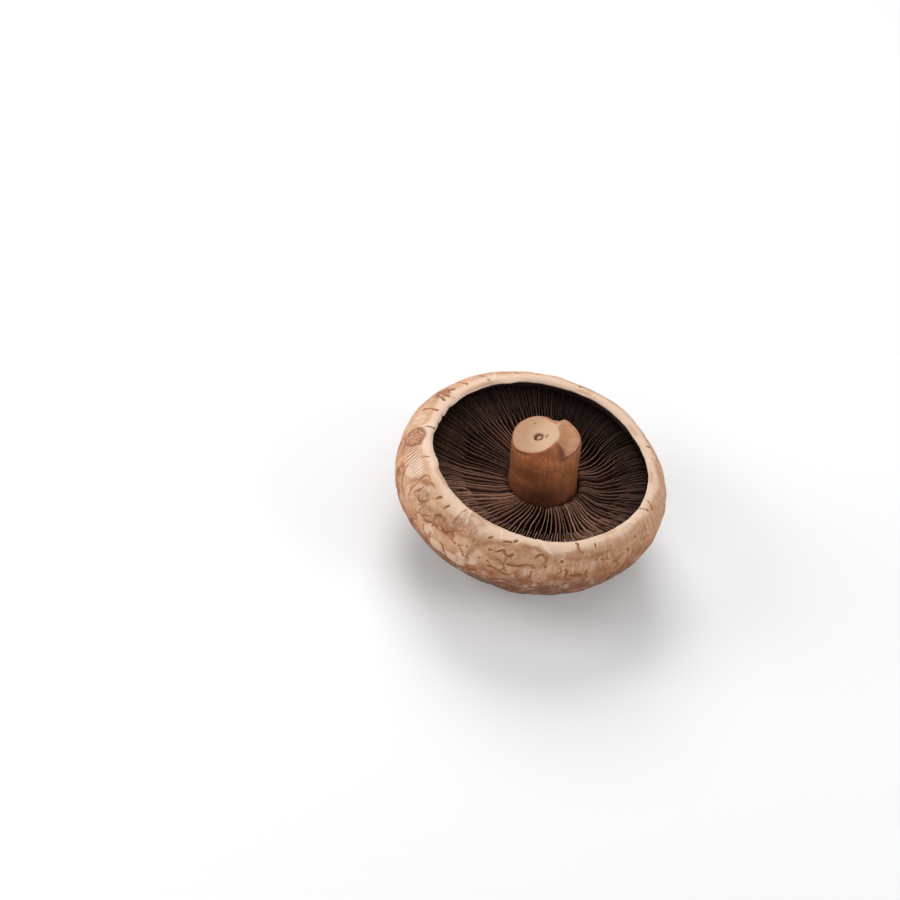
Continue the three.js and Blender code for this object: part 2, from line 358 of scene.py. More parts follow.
# The far side, out of sight of the camera, is marked by the same rules.
cracks += [[(a, d), (a + 0.5, d + 0.4)] for a, d in specks]
cracks_behind = [[turned_back(a, d) for a, d in line] for line in cracks]
bruises_behind = [(*turned_back(a, d), *form) for a, d, *form in bruises[1:]]
pale_behind = [(*turned_back(a, d), *form) for a, d, *form in pale_places_and_highlights[1:]]
bruise, rim_of_bruise = patches(bruises + bruises_behind)
pale = patches(pale_places_and_highlights + pale_behind)[0]
astray = [0.55 * noise_on_cap(2.1, seed) + 0.2 * noise_on_cap(0.9, seed) for seed in (3, 13)]
off_crack = off_lines(cracks + cracks_behind, *astray)
beside_crack = hill(off_crack - 1.15, 0.5) * smooth(noise_on_cap(5, 16), -0.25, 0.2)
stain = hill(off_lines(stains, *astray), stain_width) * (0.6 + 0.8 * noise_on_cap(4, 19))
pale_crease = hill(off_lines(pale_creases, *astray), crease_width)
crack = hill(off_crack, crack_width * (0.85 + 0.5 * noise_on_cap(2.4, 18)))
crack *= 0.5 + 0.5 * smooth(noise_on_cap(3, 14), -0.4, 0.1)
crack *= 1 - 0.42 * facing(degrees, 213, 20)
net = net_at(skin_at * (1, 1, 1.6), 5.5, 5)
broken_lines = hill(net, 0.07) * smooth(noise_on_cap(4, 7), 0.12, 0.3)
broken_lines *= 0.8 * smooth(depth, 8, 13) * (1 - 0.5 * crown)
crack = np.maximum(np.clip(crack, 0, 1), broken_lines)

# Pleats stand close together on the left of the wall, and faintly in patches all round.
pleat_count, pleat_slant, pleat_waver = 210, -1.4, 5
lumps = noise_on_cap(7, 1)
pleated = 0.9 * facing(degrees, 205, 10) * hill(depth - 8.4, 3.6)
patchy = smooth(noise_on_cap(9, 4), 0.12, 0.4)
pleated = np.maximum(pleated, 0.26 * patchy * smooth(depth, 4, 7) * (1 - smooth(depth, 11, 18)))
pleats = np.sin(pleat_count * angle + pleat_slant * depth + pleat_waver * lumps) * pleated

# Shallow dents lie where broad and narrow waves cross. Then comes all that stands out of the skin or is
# sunk in it, in millimetres.
x, y, z = plain.T
dents = 0.32 * np.sin(190 * x + 110 * z + 1) * np.sin(170 * y - 130 * z)
dents += 0.2 * np.sin(410 * x - 200 * y + 300 * z) * np.sin(350 * y + 230 * z + 2)
small_lumps = noise_on_cap(2.4, 2)
scales = net_at(plain / mm, 4.6, 6)
dent_depth, lump_height, pleat_height, crease_height = 0.8, 0.16, 0.28, 0.2
pale_height, crack_depth, bruise_depth, outline_depth, scale_height = 0.12, 0.34, 0.1, 0.12, 0.3
relief = lump_height * lumps * wall + (0.03 + 0.06 * wall) * small_lumps
relief -= dent_depth * dents * smooth(radius, 14 * mm, 33 * mm)
relief += pleat_height * pleats + crease_height * pale_crease + pale_height * (beside_crack + pale)
relief -= crack_depth * crack + bruise_depth * bruise + outline_depth * rim_of_bruise
relief += scale_height * (np.sqrt(scales) - 0.6) * crown * smooth(radius, 9 * mm, 15 * mm)
relief *= outer * mm

# The margin's thin edge wavers in and out, and is nicked.
on_edge = polar(40, angle, 0 * angle)
edge_out = 0.22 * noise_at(on_edge, 4, 8) + 0.12 * noise_at(on_edge, 1.3, 9)
nicks = [
    # degrees round, how deep in millimetres, and half its width in degrees; below 0 a flap stands in
    (173, 0.8, 0.9), (189, 0.45, 6), (179, 0.5, 0.8), (206, -1.1, 6), (203, 0.35, 0.9), (211, 0.3, 0.8),
    (242, 0.3, 0.7), (164, 0.3, 0.8), (121, -0.7, 5),
]
for at, deep, half_width in nicks:
    edge_out += deep * facing(degrees, at, half_width)
edge_out *= hill(depth + 0.2, 1.6) * mm

shaped = polar(radius + outward * relief + edge_out, angle, height + upward * relief)
shaped[:, 2] = np.maximum(shaped[:, 2], 0)
cap_mesh = mesh_of_rings("grown_cap", grown(shaped), around)

# The pale band at the margin and the tan below it lie higher or lower from place to place.
# Low on the wall the colour is also painted darker on the front right and lighter on the front left: painted
# shade and light.
flattened = plain * (1, 1, 0)
painted_shade_and_ragged_band = (7.5 * facing(degrees, 308, 32) - 3 * facing(degrees, 232, 26)) * smooth(depth, 9, 18)
painted_shade_and_ragged_band += 2.6 * noise_at(flattened, 11 * mm, 15) * smooth(depth, 0.8, 4)
strip = np.maximum(smooth(noise_at(flattened, 12 * mm, 17), 0.1, 0.4), facing(degrees, 253, 9))
mark(
    cap_mesh,
    down=depth,
    skin_at=skin_at,
    level=depth + painted_shade_and_ragged_band,
    strip=strip * smooth(depth, 0.5, 1.1) * (1 - smooth(depth, 2, 3.2)),
    pale=np.maximum(pale, 0.4 * beside_crack * wall),
    pale_crease=pale_crease,
    crack=crack,
    bruise=bruise,
    outline=rim_of_bruise,
    stain=np.clip(stain, 0, 1),
    pleated=pleated,
    lumps=lumps,
    scale=scales,
    streaky=0.06 + 0.8 * facing(degrees, 328, 38),
)


def linear(red, green, blue):
    """A colour given as 0 to 255 on a screen, as the linear one that a shader takes."""
    levels = [c / 255 for c in (red, green, blue)]
    return [c / 12.92 if c <= 0.04045 else ((c + 0.055) / 1.055) ** 2.4 for c in levels] + [1]


def feed(tree, socket, value):
    """Sets a socket, or links it to an output, or to what the mesh says of itself under a name."""
    if isinstance(value, str):
        value = said(tree, value)
    if isinstance(value, bpy.types.NodeSocket):
        tree.links.new(value, socket)
    else:
        socket.default_value = value


def add_node(tree, kind, **inputs):
    """A node with its named or numbered inputs set or linked."""
    node = tree.nodes.new(kind)
    for key, value in inputs.items():
        feed(tree, node.inputs[int(key[1:]) if key[0] == "_" else key.replace("_", " ")], value)
    return node


def calculate(tree, operation, a, b=0.0):
    """One step of arithmetic in a node tree."""
    node = add_node(tree, "ShaderNodeMath", _0=a, _1=b)
    node.operation = operation
    return node.outputs[0]


def product(tree, *values):
    """All of these values multiplied."""
    result = values[0]
    for value in values[1:]:
        result = calculate(tree, "MULTIPLY", result, value)
    return result


def total(tree, *values):
    """All of these values added up."""
    result = values[0]
    for value in values[1:]:
        result = calculate(tree, "ADD", result, value)
    return result


def remap(tree, value, low, high, start=0.0, end=1.0):
    """The value brought from low..high to start..end along an S curve."""
    span = {"From_Min": low, "From_Max": high, "To_Min": start, "To_Max": end}
    node = add_node(tree, "ShaderNodeMapRange", Value=value, **span)
    node.interpolation_type = "SMOOTHSTEP"
    return node.outputs[0]


def mixed(tree, amount, below_it, above_it):
    """Two colours mixed, either of them red, green and blue on a screen, or an output."""
    node = tree.nodes.new("ShaderNodeMix")
    node.data_type = "RGBA"
    feed(tree, node.inputs["Factor"], amount)
    for socket, colour in zip(node.inputs[6:8], (below_it, above_it)):
        feed(tree, socket, linear(*colour) if isinstance(colour, tuple) else colour)
    return node.outputs[2]


def tinted(tree, colour, *layers):
    """The colour under layers, each a tint of red, green and blue and the shares whose product lays it on."""
    for tint, *shares in layers:
        colour = mixed(tree, product(tree, *shares), colour, tint)
    return colour


def said(tree, name, output="Fac"):
    """What a mesh says of itself under this name."""
    node = tree.nodes.new("ShaderNodeAttribute")
    node.attribute_name = name
    return node.outputs[output]


def clouds(tree, place, scale, detail, roughness=0.5):
    """Noise from 0 to 1."""
    spread = {"Scale": scale, "Detail": detail, "Roughness": roughness}
    return add_node(tree, "ShaderNodeTexNoise", Vector=place, **spread).outputs[0]


def ramp(tree, value, stops):
    """A colour for each value from 0 to 1."""
    node = add_node(tree, "ShaderNodeValToRGB", Fac=value)
    elements = node.color_ramp.elements
    while len(elements) < len(stops):
        elements.new(0.5)
    for element, (place, colour) in zip(elements, stops):
        element.position = place
        element.color = colour
    return node.outputs[0]


def new_group(name, inputs, outputs):
    """A node group and its two end nodes; an input is given as its number, or as None for a place."""
    tree = bpy.data.node_groups.new(name, "ShaderNodeTree")
    for socket, value in inputs.items():
        kind = "NodeSocketVector" if value is None else "NodeSocketFloat"
        made = tree.interface.new_socket(socket, in_out="INPUT", socket_type=kind)
        if value is not None:
            made.default_value = value
    for socket in outputs:
        tree.interface.new_socket(socket, in_out="OUTPUT", socket_type="NodeSocketFloat")
    return tree, tree.nodes.new("NodeGroupInput").outputs, tree.nodes.new("NodeGroupOutput").inputs


def use_group(tree, group, **inputs):
    """A group placed in a material, with its own values."""
    node = tree.nodes.new("ShaderNodeGroup")
    node.node_tree = group
    for key, value in inputs.items():
        feed(tree, node.inputs[key], value)
    return node.outputs


def cut_out(tree, value, share, softness):
    """1 where the value is high, over about this share of the surface, and 0 over the rest."""
    cut = calculate(tree, "SUBTRACT", 1, share)
    return remap(tree, value, calculate(tree, "SUBTRACT", cut, softness), total(tree, cut, softness))


def mottling_group():
    """Cloudy patches: Mask is 0 or 1 over most of the surface, and ragged between."""
    inputs = {"Place": None, "Size": 0.01, "Share": 0.5, "Softness": 0.1}
    tree, given, result = new_group("mottling", inputs, ["Mask"])
    cloud = clouds(tree, given["Place"], calculate(tree, "DIVIDE", 1, given["Size"]), 6, 0.62)
    tree.links.new(cut_out(tree, cloud, given["Share"], given["Softness"]), result["Mask"])
    return tree


def fibres_group():
    """Fine threads along a skin: Mask picks out threads, and Height is for a bump."""
    softness = 0.07
    inputs = {"Place": None, "Width": 0.5, "Length": 6, "Share": 0.5}
    tree, given, result = new_group("fibres", inputs, ["Mask", "Height"])
    x, y, z = add_node(tree, "ShaderNodeSeparateXYZ", Vector=given["Place"]).outputs
    across = calculate(tree, "DIVIDE", 1, given["Width"])
    z = calculate(tree, "DIVIDE", z, given["Length"])
    x, y = product(tree, x, across), product(tree, y, across)
    stretched = add_node(tree, "ShaderNodeCombineXYZ", X=x, Y=y, Z=z).outputs[0]
    threads = clouds(tree, stretched, 1, 4, 0.6)
    tree.links.new(cut_out(tree, threads, given["Share"], softness), result["Mask"])
    tree.links.new(threads, result["Height"])
    return tree


mottling = mottling_group()
fibres = fibres_group()


def mottled(tree, place, size, share, softness):
    """The mask of cloudy patches of this size in millimetres, over this share of the surface."""
    return use_group(tree, mottling, Place=place, Size=size * mm, Share=share, Softness=softness)["Mask"]


def new_material(name, roughness, specular, subsurface):
    """A material, its tree, the places on the piece and the inputs of its Principled node."""
    material = bpy.data.materials.new(name)
    material.use_nodes = True
    tree = material.node_tree
    place = add_node(tree, "ShaderNodeTexCoord").outputs["Object"]
    shader = tree.nodes["Principled BSDF"].inputs
    # Light goes a little way into the flesh.
    values = {
        "Roughness": roughness, "Specular IOR Level": specular, "Subsurface Weight": subsurface,
        "Subsurface Radius": (1, 0.45, 0.25), "Subsurface Scale": 1.6 * mm,
    }
    for key, value in values.items():
        shader[key].default_value = value
    return material, tree, place, shader


def bumped(tree, shader, height, strength, distance):
    """A relief too fine for the mesh, in the shading alone."""
    bump = add_node(tree, "ShaderNodeBump", Strength=strength, Distance=distance, Height=height)
    tree.links.new(bump.outputs[0], shader["Normal"])


def cap_skin():
    """Dry skin: a cream margin, tan and flecked below it, and chestnut scales over the crown."""
    material, tree, place, shader = new_material("cap_skin", 0.68, 0.3, 0.12)
    down, skin = said(tree, "down"), said(tree, "skin_at", "Vector")
    uneven = calculate(tree, "SUBTRACT", clouds(tree, place, 110, 3), 0.5)
    uneven = product(tree, uneven, remap(tree, down, 1.5, 6, 0, 8))
    # Inside the lip the colour darkens to near black within a few millimetres: the brown of the inner wall
    # under painted shade. Just past the edge of the mouth a brighter stop is a painted highlight along the
    # rim.
    stops = [
        # millimetres down the skin from the edge of the mouth, and the colour there
        (-8, (30, 19, 15)), (-2.4, (56, 36, 27)), (-1.2, (112, 74, 54)), (-0.4, (190, 150, 122)),
        (0.3, (242, 219, 197)), (1.1, (222, 192, 167)), (4.6, (222, 191, 165)), (6.2, (204, 161, 127)),
        (13, (202, 156, 119)), (18, (186, 137, 99)), (22.5, (146, 85, 47)), (28, (104, 53, 27)),
        (44, (90, 54, 34)), (70, (80, 50, 34)),
    ]
    lowest, highest = stops[0][0], stops[-1][0]
    level = total(tree, "level", uneven)
    level = add_node(tree, "ShaderNodeMapRange", Value=level, From_Min=lowest, From_Max=highest).outputs[0]
    colour = ramp(tree, level, [((d - lowest) / (highest - lowest), linear(*c)) for d, c in stops])
    on_wall = product(tree, remap(tree, down, 4, 9), remap(tree, down, 38, 28))
    on_crown = remap(tree, down, 24, 40)

    tan = mottled(tree, place, 10, 0.45, 0.08)
    colour = tinted(tree, colour, ((162, 110, 74), tan, on_wall, 0.55))
    # Paler mottled patches and the pale places, some of which are a painted highlight.
    light = product(tree, mottled(tree, place, 5, 0.42, 0.1), on_wall, 0.4)
    light = calculate(tree, "MAXIMUM", light, product(tree, "pale", 0.75))
    colour = tinted(tree, colour, ((234, 209, 186), light))

    # The crests of the pleats are painted pale as a painted highlight, and the furrows between them brown as
    # painted shade.
    x, y, _ = add_node(tree, "ShaderNodeSeparateXYZ", Vector=skin).outputs
    phase = product(tree, calculate(tree, "ARCTAN2", y, x), pleat_count)
    slant, waver = product(tree, down, pleat_slant), product(tree, "lumps", pleat_waver)
    pleats_here = calculate(tree, "SINE", total(tree, phase, slant, waver))
    pleats_here = product(tree, pleats_here, "pleated")
    colour = tinted(
        tree, colour,
        ((248, 230, 211), remap(tree, pleats_here, 0, 0.8, 0, 0.9)),
        ((164, 112, 74), remap(tree, pleats_here, -0.3, -1, 0, 0.75)),
    )

    # The skin parts into small flakes, some pale and some brown, with darker lines between a few of them.
    noisy = add_node(tree, "ShaderNodeTexNoise", Vector=place, Scale=330, Detail=4).outputs["Color"]
    shift = add_node(tree, "ShaderNodeVectorMath", _0=noisy, _1=(0.5, 0.5, 0.5))
    shift.operation = "SUBTRACT"
    flaky_place = add_node(tree, "ShaderNodeVectorMath", _0=shift.outputs[0], _1=[7 * mm] * 3, _2=place)
    flaky_place.operation = "MULTIPLY_ADD"
    flakes, borders = (
        add_node(tree, "ShaderNodeTexVoronoi", Vector=flaky_place.outputs[0], Scale=380) for _ in range(2)
    )
    borders.feature = "DISTANCE_TO_EDGE"
    flake = add_node(tree, "ShaderNodeSeparateXYZ", Vector=flakes.outputs["Color"]).outputs[0]
    colour = tinted(
        tree, colour,
        ((228, 200, 174), remap(tree, flake, 0.5, 1, 0, 0.12), on_wall),
        ((158, 106, 70), remap(tree, flake, 0.5, 0, 0, 0.16), on_wall),
    )
    border = remap(tree, borders.outputs["Distance"], 0.09, 0.02)
    parted = mottled(tree, place, 4, 0.42, 0.05)
    colour = tinted(tree, colour, ((130, 80, 48), border, parted, on_wall, 0.35))

    # Flecks, stains, and bruises with their dark outlines.
    flecks = mottled(tree, place, 1.5, 0.36, 0.03)
    colour = tinted(
        tree, colour,
        ((146, 98, 64), flecks, remap(tree, down, 5, 16), 0.4),
        ((148, 92, 54), "stain", 0.8),
    )
    grain = mottled(tree, place, 0.9, 0.5, 0.12)
    speckles = calculate(tree, "SUBTRACT", 1, grain)
    colour = tinted(tree, colour, ((146, 96, 62), speckles, remap(tree, down, 3, 7, 0, 0.2)))
    spotted = mixed(tree, grain, (142, 88, 56), (198, 150, 116))
    colour = mixed(tree, product(tree, "bruise", 0.92), colour, spotted)
    colour = tinted(tree, colour, ((106, 57, 32), "outline", 0.95))

    # A tan strip inside the pale band, here and there, and pale creases down from the edge.
    colour = tinted(
        tree, colour,
        ((190, 144, 110), "strip", 0.6),
        ((240, 220, 200), "pale_crease", 0.6),
    )

    # Faint streaks down the margin, strongest on one side.
    streaks = use_group(tree, fibres, Place=skin, Width=1.1, Length=12, Share=0.46)["Mask"]
    growing = remap(tree, down, 1.5, 9, 0.1, 1)
    colour = tinted(tree, colour, ((150, 104, 72), streaks, "streaky", 0.7, growing))

    # Threads of the brown top skin, which lie down the slope and end in scales.
    threads = use_group(tree, fibres, Place=skin, Width=0.9, Length=9, Share=0.52)
    colour = tinted(tree, colour, ((84, 48, 28), threads["Mask"], remap(tree, down, 20, 36, 0, 0.6)))
    between = remap(tree, "scale", 0.16, 0.02)
    colour = tinted(
        tree, colour,
        ((150, 104, 72), between, on_crown, 0.3),
        ((148, 90, 53), remap(tree, "crack", 0.04, 0.42, 0, 0.8)),
        ((96, 50, 27), remap(tree, "crack", 0.48, 0.95, 0, 0.9)),
    )
    tree.links.new(colour, shader["Base Color"])

    fine, pores = clouds(tree, place, 1400, 4), clouds(tree, place, 500, 5, 0.65)
    scaly = product(tree, threads["Height"], remap(tree, down, 6, 30, 0.15, 1.3))
    grainy = total(tree, product(tree, pores, 0.9), product(tree, fine, 0.25))
    bumped(tree, shader, total(tree, grainy, scaly, product(tree, pleats_here, 0.4)), 0.8, 0.45 * mm)
    tree.links.new(remap(tree, pores, 0.3, 0.7, 0.78, 0.58), shader["Roughness"])
    return material


cap_mesh.materials.append(cap_skin())
put_in_piece(cap_mesh, "cap")

# The gills
#
# Thin brown blades that hang all round the stem, packed side by side, with shorter ones wherever the
# long ones spread apart. They grow out of a thin lining of the bowl, wave from side to side, and lean
# together in clumps. Their free edges carry a painted highlight, paler than their sides.

blade_count = 384
points_along, points_up = 34, 3
long_start, middling_start, short_start = 14.95 * mm, 22 * mm, 30 * mm
blade_end = 45.9 * mm
root_thickness, edge_thickness = 0.32 * mm, 0.14 * mm
lining_above, lining_thickness = 0.15 * mm, 0.6 * mm
edge_inside, edge_rise, edge_roughness = 33.4 * mm, 6.6 * mm, 0.8 * mm
long_apart, short_apart, closer_beside, higher_beside = 0.5 * mm, 2.5 * mm, 1.3 * mm, 2.4 * mm
own_wave, own_lean = 0.07 * mm, 0.16 * mm


def gill_lining():
    """The skin of the bowl that the blades stand on, as a thin closed ring."""
    across = np.linspace(gill_inside + 0.2 * mm, gill_outside, 24)
    under = np.stack([across, flesh_at(across) + lining_above], axis=1)
    loop = np.concatenate([under, under[::-1] + (0, lining_thickness)])
    lining_around = 120
    a = np.tile(np.linspace(0, 2 * math.pi, lining_around, endpoint=False), len(loop))
    r, z = np.repeat(loop, lining_around, axis=0).T
    return mesh_of_rings("gill_lining", polar(r, a, z), lining_around, torus=True)


def gill_tree():
    """Blades for every place round the bowl, each bent to its own shape from one upright board."""
    tree = bpy.data.node_groups.new("gill_blades", "GeometryNodeTree")
    tree.interface.new_socket("Lining", in_out="INPUT", socket_type="NodeSocketGeometry")
    sizes = {
        "Blades": blade_count, "Seed": 4, "Long start": long_start, "Middling start": middling_start,
        "Short start": short_start, "End": blade_end, "Root thickness": root_thickness,
        "Edge thickness": edge_thickness, "Sway": 5 * mm, "Sway size": 24 * mm, "Clump": 1.6 * mm,
        "Clump size": 7 * mm,
    }
    for name, value in sizes.items():
        kind = "NodeSocketInt" if isinstance(value, int) else "NodeSocketFloat"
        tree.interface.new_socket(name, in_out="INPUT", socket_type=kind).default_value = value
    tree.interface.new_socket("Flesh", in_out="INPUT", socket_type="NodeSocketMaterial")
    tree.interface.new_socket("Gills", in_out="OUTPUT", socket_type="NodeSocketGeometry")
    given = tree.nodes.new("NodeGroupInput").outputs

    def step(operation, a, b=0):
        return calculate(tree, operation, a, b)

    def times(*values):
        return product(tree, *values)

    def plus(*values):
        return total(tree, *values)

    def between(share, low, high):
        return add_node(tree, "ShaderNodeMapRange", Value=share, To_Min=low, To_Max=high).outputs[0]

    def point(x, y, z):
        return add_node(tree, "ShaderNodeCombineXYZ", X=x, Y=y, Z=z).outputs[0]

    def stored(geometry, name, value):
        """The geometry, with a number kept at each of its points."""
        node = tree.nodes.new("GeometryNodeStoreNamedAttribute")
        node.data_type, node.domain = "FLOAT", "POINT"
        node.inputs["Name"].default_value = name
        tree.links.new(geometry, node.inputs["Geometry"])
        tree.links.new(value, node.inputs["Value"])
        return node.outputs[0]

    def named(name):
        """The number kept under this name."""
        node = tree.nodes.new("GeometryNodeInputNamedAttribute")
        node.data_type = "FLOAT"
        node.inputs["Name"].default_value = name
        return node.outputs["Attribute"]

    def chance(low, high, number):
        """A draw for each blade."""
        node = add_node(tree, "FunctionNodeRandomValue", ID=blade, Seed=plus(given["Seed"], number))
        node.inputs[2].default_value, node.inputs[3].default_value = low, high
        return node.outputs[1]

    def swing(place, size, reach):
        """Neighbours swing aside together: by up to half of reach, in lumps of this size."""
        lump = clouds(tree, place, step("DIVIDE", 1, size), 1)
        return times(step("SUBTRACT", lump, 0.5), reach)

    counts = {"Vertices_X": points_along, "Vertices_Y": 2, "Vertices_Z": points_up}
    board = add_node(tree, "GeometryNodeMeshCube", Size=(1, 1, 1), **counts)
    here = tree.nodes.new("GeometryNodeInputPosition").outputs[0]
    forth, aside, above = add_node(tree, "ShaderNodeSeparateXYZ", Vector=here).outputs
    shape = stored(board.outputs["Mesh"], "along", plus(forth, 0.5))
    shape = stored(shape, "side", aside)
    shape = stored(shape, "edge", plus(above, 0.5))
    places = add_node(tree, "GeometryNodePoints", Count=given["Blades"]).outputs[0]
    places = stored(places, "blade", tree.nodes.new("GeometryNodeInputIndex").outputs[0])
    boards = add_node(tree, "GeometryNodeInstanceOnPoints", Points=places, Instance=shape).outputs[0]
    boards = add_node(tree, "GeometryNodeRealizeInstances", Geometry=boards).outputs[0]

    # Every other blade is short. Of the rest, one is long and the next middling.
    blade, along, side, edge = named("blade"), named("along"), named("side"), named("edge")
    tier = step("MODULO", blade, 4)
    is_long, is_middling = step("LESS_THAN", tier, 0.5), step("COMPARE", tier, 2)
    start = between(is_middling, given["Short start"], given["Middling start"])
    start = between(is_long, start, given["Long start"])
    start = plus(start, times(chance(0, 1, 1), between(is_long, short_apart, long_apart)))
    pitch = step("DIVIDE", 2 * math.pi, given["Blades"])
    straight = times(plus(blade, chance(-0.17, 0.17, 2)), pitch)
    # On one side they come closer to the stem, and stand higher there.
    beside = plus(times(step("COSINE", plus(straight, 0.3)), 0.5), 0.5)
    beside = times(beside, beside)
    start = step("SUBTRACT", start, times(beside, is_long, closer_beside))
    r = between(along, start, given["End"])

    x, y = times(step("COSINE", straight), 30 * mm), times(step("SINE", straight), 30 * mm)
    spot, slow = point(x, y, r), point(x, y, times(r, 0.4))
    sway = swing(spot, given["Sway size"], given["Sway"])
    clump = times(swing(slow, given["Clump size"], given["Clump"]), between(edge, 0.35, 1))
    own = step("SINE", plus(chance(0, 6.28, 3), times(r, 240)))
    own = times(own, chance(0, own_wave, 4))
    lean = times(step("SUBTRACT", edge, 0.3), chance(-own_lean, own_lean, 5))
    thickness = between(edge, given["Root thickness"], given["Edge thickness"])
    thinning = remap(tree, along, 0, 0.05, 0.35, 1)
    off = plus(plus(sway, clump), plus(lean, own), times(side, thickness, thinning))

    flesh = times(step("POWER", step("DIVIDE", r, flesh_reach), flesh_curve), flesh_rise)
    root = plus(flesh, flesh_height, lining_above + 0.3 * mm)
    out = step("DIVIDE", step("MAXIMUM", step("SUBTRACT", r, 14 * mm), 0), 31 * mm)
    free = plus(times(step("POWER", out, 1.45), edge_rise), edge_inside)
    free = plus(free, times(beside, remap(tree, r, 15 * mm, 25 * mm, higher_beside, 0)))
    free = times(free, times(remap(tree, along, 0.9, 1, 1, 0.975), chance(0.965, 1, 6)))
    uneven = step("SUBTRACT", clouds(tree, spot, 300, 2), 0.5)
    free = plus(free, times(uneven, edge_roughness))
    # A long blade stands at its full height beside the stem, and a short one rises slowly out of the flesh.
    rising = remap(tree, along, 0, between(is_long, 0.5, 0.06))
    rising = between(rising, between(is_long, 0.12, 0.9), 1)
    z = between(edge, root, between(rising, root, free))

    turned_by = plus(straight, step("DIVIDE", off, r))
    bent = point(times(step("COSINE", turned_by), r), times(step("SINE", turned_by), r), z)
    blades = add_node(tree, "GeometryNodeSetPosition", Geometry=boards, Position=bent).outputs[0]
    blades = stored(blades, "tone", chance(0, 1, 7))
    joined = tree.nodes.new("GeometryNodeJoinGeometry")
    tree.links.new(given["Lining"], joined.inputs[0])
    tree.links.new(blades, joined.inputs[0])
    real = add_node(tree, "GeometryNodeRealizeInstances", Geometry=joined.outputs[0]).outputs[0]
    painted = add_node(tree, "GeometryNodeSetMaterial", Geometry=real, Material=given["Flesh"]).outputs[0]
    tree.links.new(painted, tree.nodes.new("NodeGroupOutput").inputs[0])
    return tree


def gill_flesh():
    """Moist dark flesh: chocolate sides, painted lighter on the near side and darker towards the margin as
    painted light and shade, pinkish brown edges under a painted highlight, and a few pale specks.
    """
    material, tree, place, shader = new_material("gill", 0.62, 0.25, 0)
    edge, tone, near = said(tree, "edge"), said(tree, "tone"), said(tree, "near_side")
    outwards = calculate(tree, "SUBTRACT", "out", product(tree, near, 12))
    colour = mixed(tree, tone, (35, 21, 16), (63, 40, 31))
    # Blades on the near side are painted lighter, as painted light, and all are mottled.
    colour = tinted(
        tree, colour,
        ((110, 73, 58), remap(tree, near, 0.6, 1, 0, 0.65)),
        ((96, 56, 43), mottled(tree, place, 8, 0.5, 0.12), 0.45),
    )

    # The pale free edge is a painted highlight: it reaches lower down and is brighter on the near side, and
    # fades towards the margin.
    low = remap(tree, near, 0.5, 1, 0.88, 0.72)
    edge_highlight = product(
        tree,
        remap(tree, edge, low, 1),
        remap(tree, tone, 0.15, 1, 0.35, 1),
        remap(tree, outwards, 20, 40, 1, 0.3),
        remap(tree, mottled(tree, place, 2.5, 0.6, 0.15), 0, 1, 0.45, 1),
    )
    edge_highlight_colour = mixed(tree, remap(tree, near, 0.55, 0.9), (158, 116, 95), (214, 166, 139))
    colour = mixed(tree, edge_highlight, colour, edge_highlight_colour)
    off_speck = add_node(tree, "ShaderNodeTexVoronoi", Vector=place, Scale=420).outputs["Distance"]
    in_speck = calculate(tree, "LESS_THAN", off_speck, 0.1)
    colour = tinted(tree, colour, ((190, 160, 138), in_speck, remap(tree, edge, 0.75, 0.95)))

    # Painted shade darkens the blades towards the margin, most on the far side.
    colour = tinted(tree, colour, ((42, 29, 23), remap(tree, outwards, 24, 46, 0, 0.75)))
    tree.links.new(colour, shader["Base Color"])
    bumped(tree, shader, clouds(tree, place, 900, 4), 0.4, 0.15 * mm)
    return material


lining = put_in(gill_lining())
grower = lining.modifiers.new("blades", "NODES")
grower.node_group = gill_tree()
inputs = {s.name: s.identifier for s in grower.node_group.interface.items_tree if s.in_out == "INPUT"}
grower[inputs["Flesh"]] = gill_flesh()
bpy.context.view_layer.update()
gill_mesh = bpy.data.meshes.new_from_object(lining.evaluated_get(bpy.context.evaluated_depsgraph_get()))
lining.modifiers.remove(grower)
bpy.data.objects.remove(lining)
gill_mesh.name = "gill_blades"
points = np.empty(3 * len(gill_mesh.vertices), dtype=np.float32)
gill_mesh.vertices.foreach_get("co", points)
points = points.reshape(-1, 3).astype(float)
gill_mesh.vertices.foreach_set("co", grown(points).astype(np.float32).ravel())
gill_mesh.update()
from_middle, round_middle = np.hypot(points[:, 0], points[:, 1]), np.arctan2(points[:, 1], points[:, 0])
mark(gill_mesh, out=from_middle / mm, near_side=0.5 - 0.5 * np.sin(round_middle))
put_in_piece(gill_mesh, "gills")

# The stem
#
# A stout column of fibrous flesh in a thin brown skin, which grew out of the middle of the cap and
# leans a little. A knife cut it across, and one side of the cut broke away along its fibres.

stem_knee = Vector((4.1, -1, 36)) * mm
stem_tip = Vector((-1.2, 1.7, 56.5)) * mm
stem_length = stem_tip.z - stem_foot.z
stem_depth_ratio = 0.95
pith = Vector((-2.2, -3)) * mm
# The flat that is left of the cut, by its middle and radius, and the radius of the rim, in millimetres.
flat_x, flat_y, flat_radius, rim_radius = -3.5, -2.2, 9, 13.2
broken_rim = [
    # degrees round, and how far the rim stands below the plane of the cut, in millimetres
    (-112, 0), (-95, 1.4), (-80, 3), (-60, 3.8), (-42, 3.2), (-28, 2.6), (-15, 2.8), (0, 2.1), (15, 1.9),
    (30, 1.4), (45, 1), (60, 0.4), (68, 0.2), (78, 1.6), (90, 2.1), (105, 0.9), (118, 0),
]


def past_flat(x, y):
    """How far places are past the edge of the flat that is left of the cut, in millimetres."""
    sideways = np.where(y < flat_y, 0.8, 0.72) * (y - flat_y)
    return np.hypot(np.maximum(x - flat_x, 0), sideways) - flat_radius


